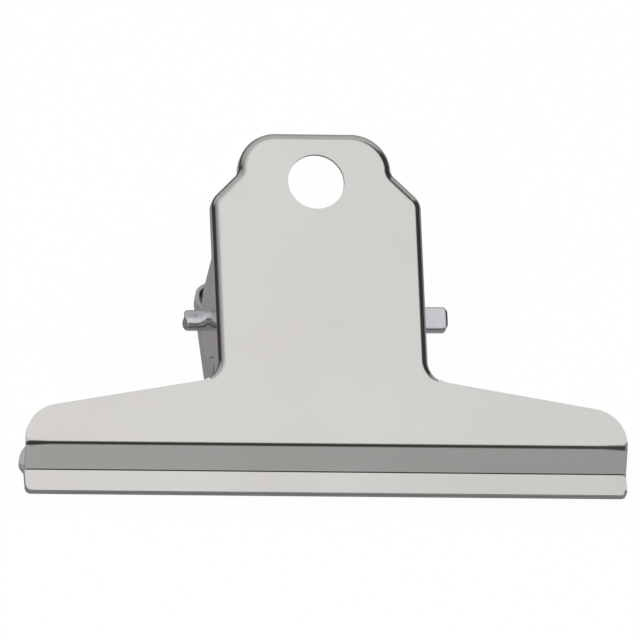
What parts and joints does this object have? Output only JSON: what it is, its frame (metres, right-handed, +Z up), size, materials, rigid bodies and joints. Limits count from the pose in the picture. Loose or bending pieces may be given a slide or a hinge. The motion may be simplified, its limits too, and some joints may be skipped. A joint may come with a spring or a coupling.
{
  "type": "bulldog clip",
  "caption": "Wide bulldog clip in plated sheet steel: two sprung jaws with flat grip handles, each with a hanging hole, turning on one pin with pressed ends.",
  "frame": {"origin": "on the surface the clip lies on, under the middle of its bounding box", "axes": "+X along the jaws, +Y from the mouth towards the handles, +Z up from the rear plate that the clip lies on"},
  "size_m": [0.125, 0.0774, 0.0388],
  "materials": {
    "plated_sheet": "satin nickel plating",
    "pin_steel": "bright plating",
    "spring_wire": "bright drawn wire"
  },
  "bodies": {
    "rear_half": {"rear_jaw": "plated_sheet", "pivot_pin": "pin_steel", "torsion_spring": "spring_wire"},
    "front_half": {"front_jaw": "plated_sheet"}
  },
  "joints": [
    {"name": "jaw_hinge", "type": "hinge", "parent": "rear_half", "child": "front_half", "pos_m": [0, 0.00193, 0.01246], "axis": [-1, 0, 0], "range_deg": [0, 35], "stiffness_Nm_per_rad": 0.56, "springref_deg": -68.75, "deforming": ["torsion_spring"]}
  ]
}
